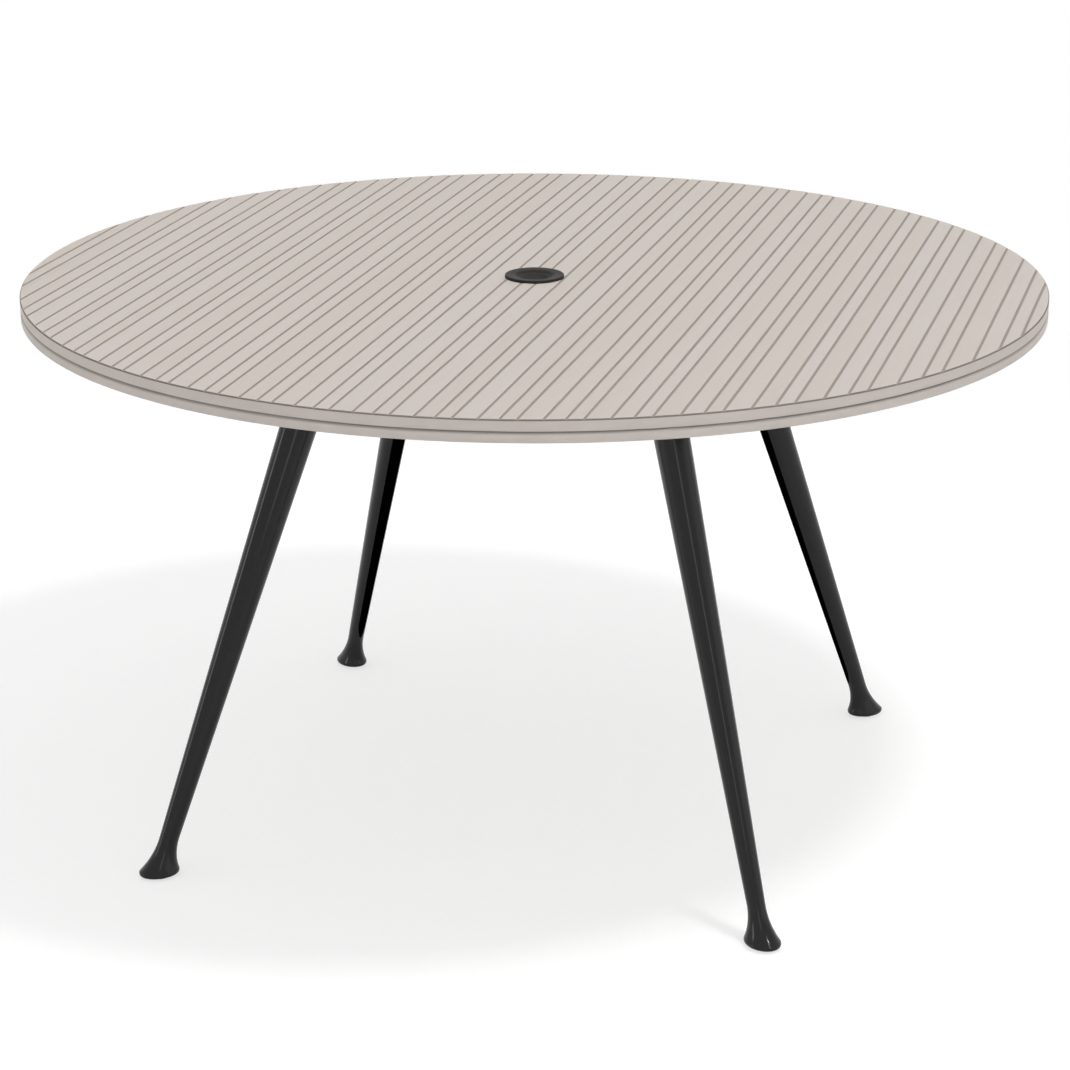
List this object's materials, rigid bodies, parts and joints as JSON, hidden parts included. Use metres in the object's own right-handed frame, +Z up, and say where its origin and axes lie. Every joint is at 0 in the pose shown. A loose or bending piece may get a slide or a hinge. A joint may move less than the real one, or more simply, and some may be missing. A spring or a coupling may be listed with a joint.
{
  "type": "round conference table",
  "caption": "Round meeting table: a two-layer top with a grooved plank face and a capped cable port, on splayed oval legs that taper to flared feet with levelling glides.",
  "frame": {"origin": "on the floor under the middle of the table", "axes": "+Z up, planks along Y, legs on the diagonals between X and Y"},
  "size_m": [1.372, 1.372, 0.754],
  "materials": {
    "plank_laminate": "matte",
    "board_core": "matte",
    "edge_band": "matte",
    "lacquered_board": "matte",
    "leg_coat": "satin",
    "black_strip": "matte",
    "frame_paint": "satin",
    "grommet_plastic": "satin",
    "glide_plastic": "matte",
    "zinc_steel": "satin",
    "brass_fitting": "satin"
  },
  "bodies": {
    "table": {"face_sheet": "plank_laminate", "upper_board": "board_core", "upper_edge_band": "edge_band", "lower_board": "lacquered_board", "board_screws": "zinc_steel", "grommet_ring": "grommet_plastic", "grommet_nut": "grommet_plastic", "back_right_leg": "leg_coat", "back_right_leg_strip": "black_strip", "back_right_bracket": "frame_paint", "back_left_leg": "leg_coat", "back_left_leg_strip": "black_strip", "back_left_bracket": "frame_paint", "front_left_leg": "leg_coat", "front_left_leg_strip": "black_strip", "front_left_bracket": "frame_paint", "front_right_leg": "leg_coat", "front_right_leg_strip": "black_strip", "front_right_bracket": "frame_paint", "back_rail": "frame_paint", "left_rail": "frame_paint", "front_rail": "frame_paint", "right_rail": "frame_paint", "leg_bolts": "zinc_steel", "bracket_screws": "zinc_steel", "threaded_inserts": "brass_fitting", "rail_bolts": "zinc_steel", "glide_bushes": "brass_fitting"},
    "cap": {"grommet_cap": "grommet_plastic"},
    "glide_back_right": {"back_right_glide_pad": "glide_plastic", "back_right_glide_stem": "zinc_steel"},
    "glide_back_left": {"back_left_glide_pad": "glide_plastic", "back_left_glide_stem": "zinc_steel"},
    "glide_front_left": {"front_left_glide_pad": "glide_plastic", "front_left_glide_stem": "zinc_steel"},
    "glide_front_right": {"front_right_glide_pad": "glide_plastic", "front_right_glide_stem": "zinc_steel"}
  },
  "joints": [
    {"name": "cap_lift", "type": "slide", "parent": "table", "child": "cap", "axis": [0, 0, 1], "range_m": [0, 0.06]},
    {"name": "back_right_glide_level", "type": "slide", "parent": "table", "child": "glide_back_right", "axis": [0, 0, -1], "range_m": [0, 0.01]},
    {"name": "back_left_glide_level", "type": "slide", "parent": "table", "child": "glide_back_left", "axis": [0, 0, -1], "range_m": [0, 0.01]},
    {"name": "front_left_glide_level", "type": "slide", "parent": "table", "child": "glide_front_left", "axis": [0, 0, -1], "range_m": [0, 0.01]},
    {"name": "front_right_glide_level", "type": "slide", "parent": "table", "child": "glide_front_right", "axis": [0, 0, -1], "range_m": [0, 0.01]}
  ]
}
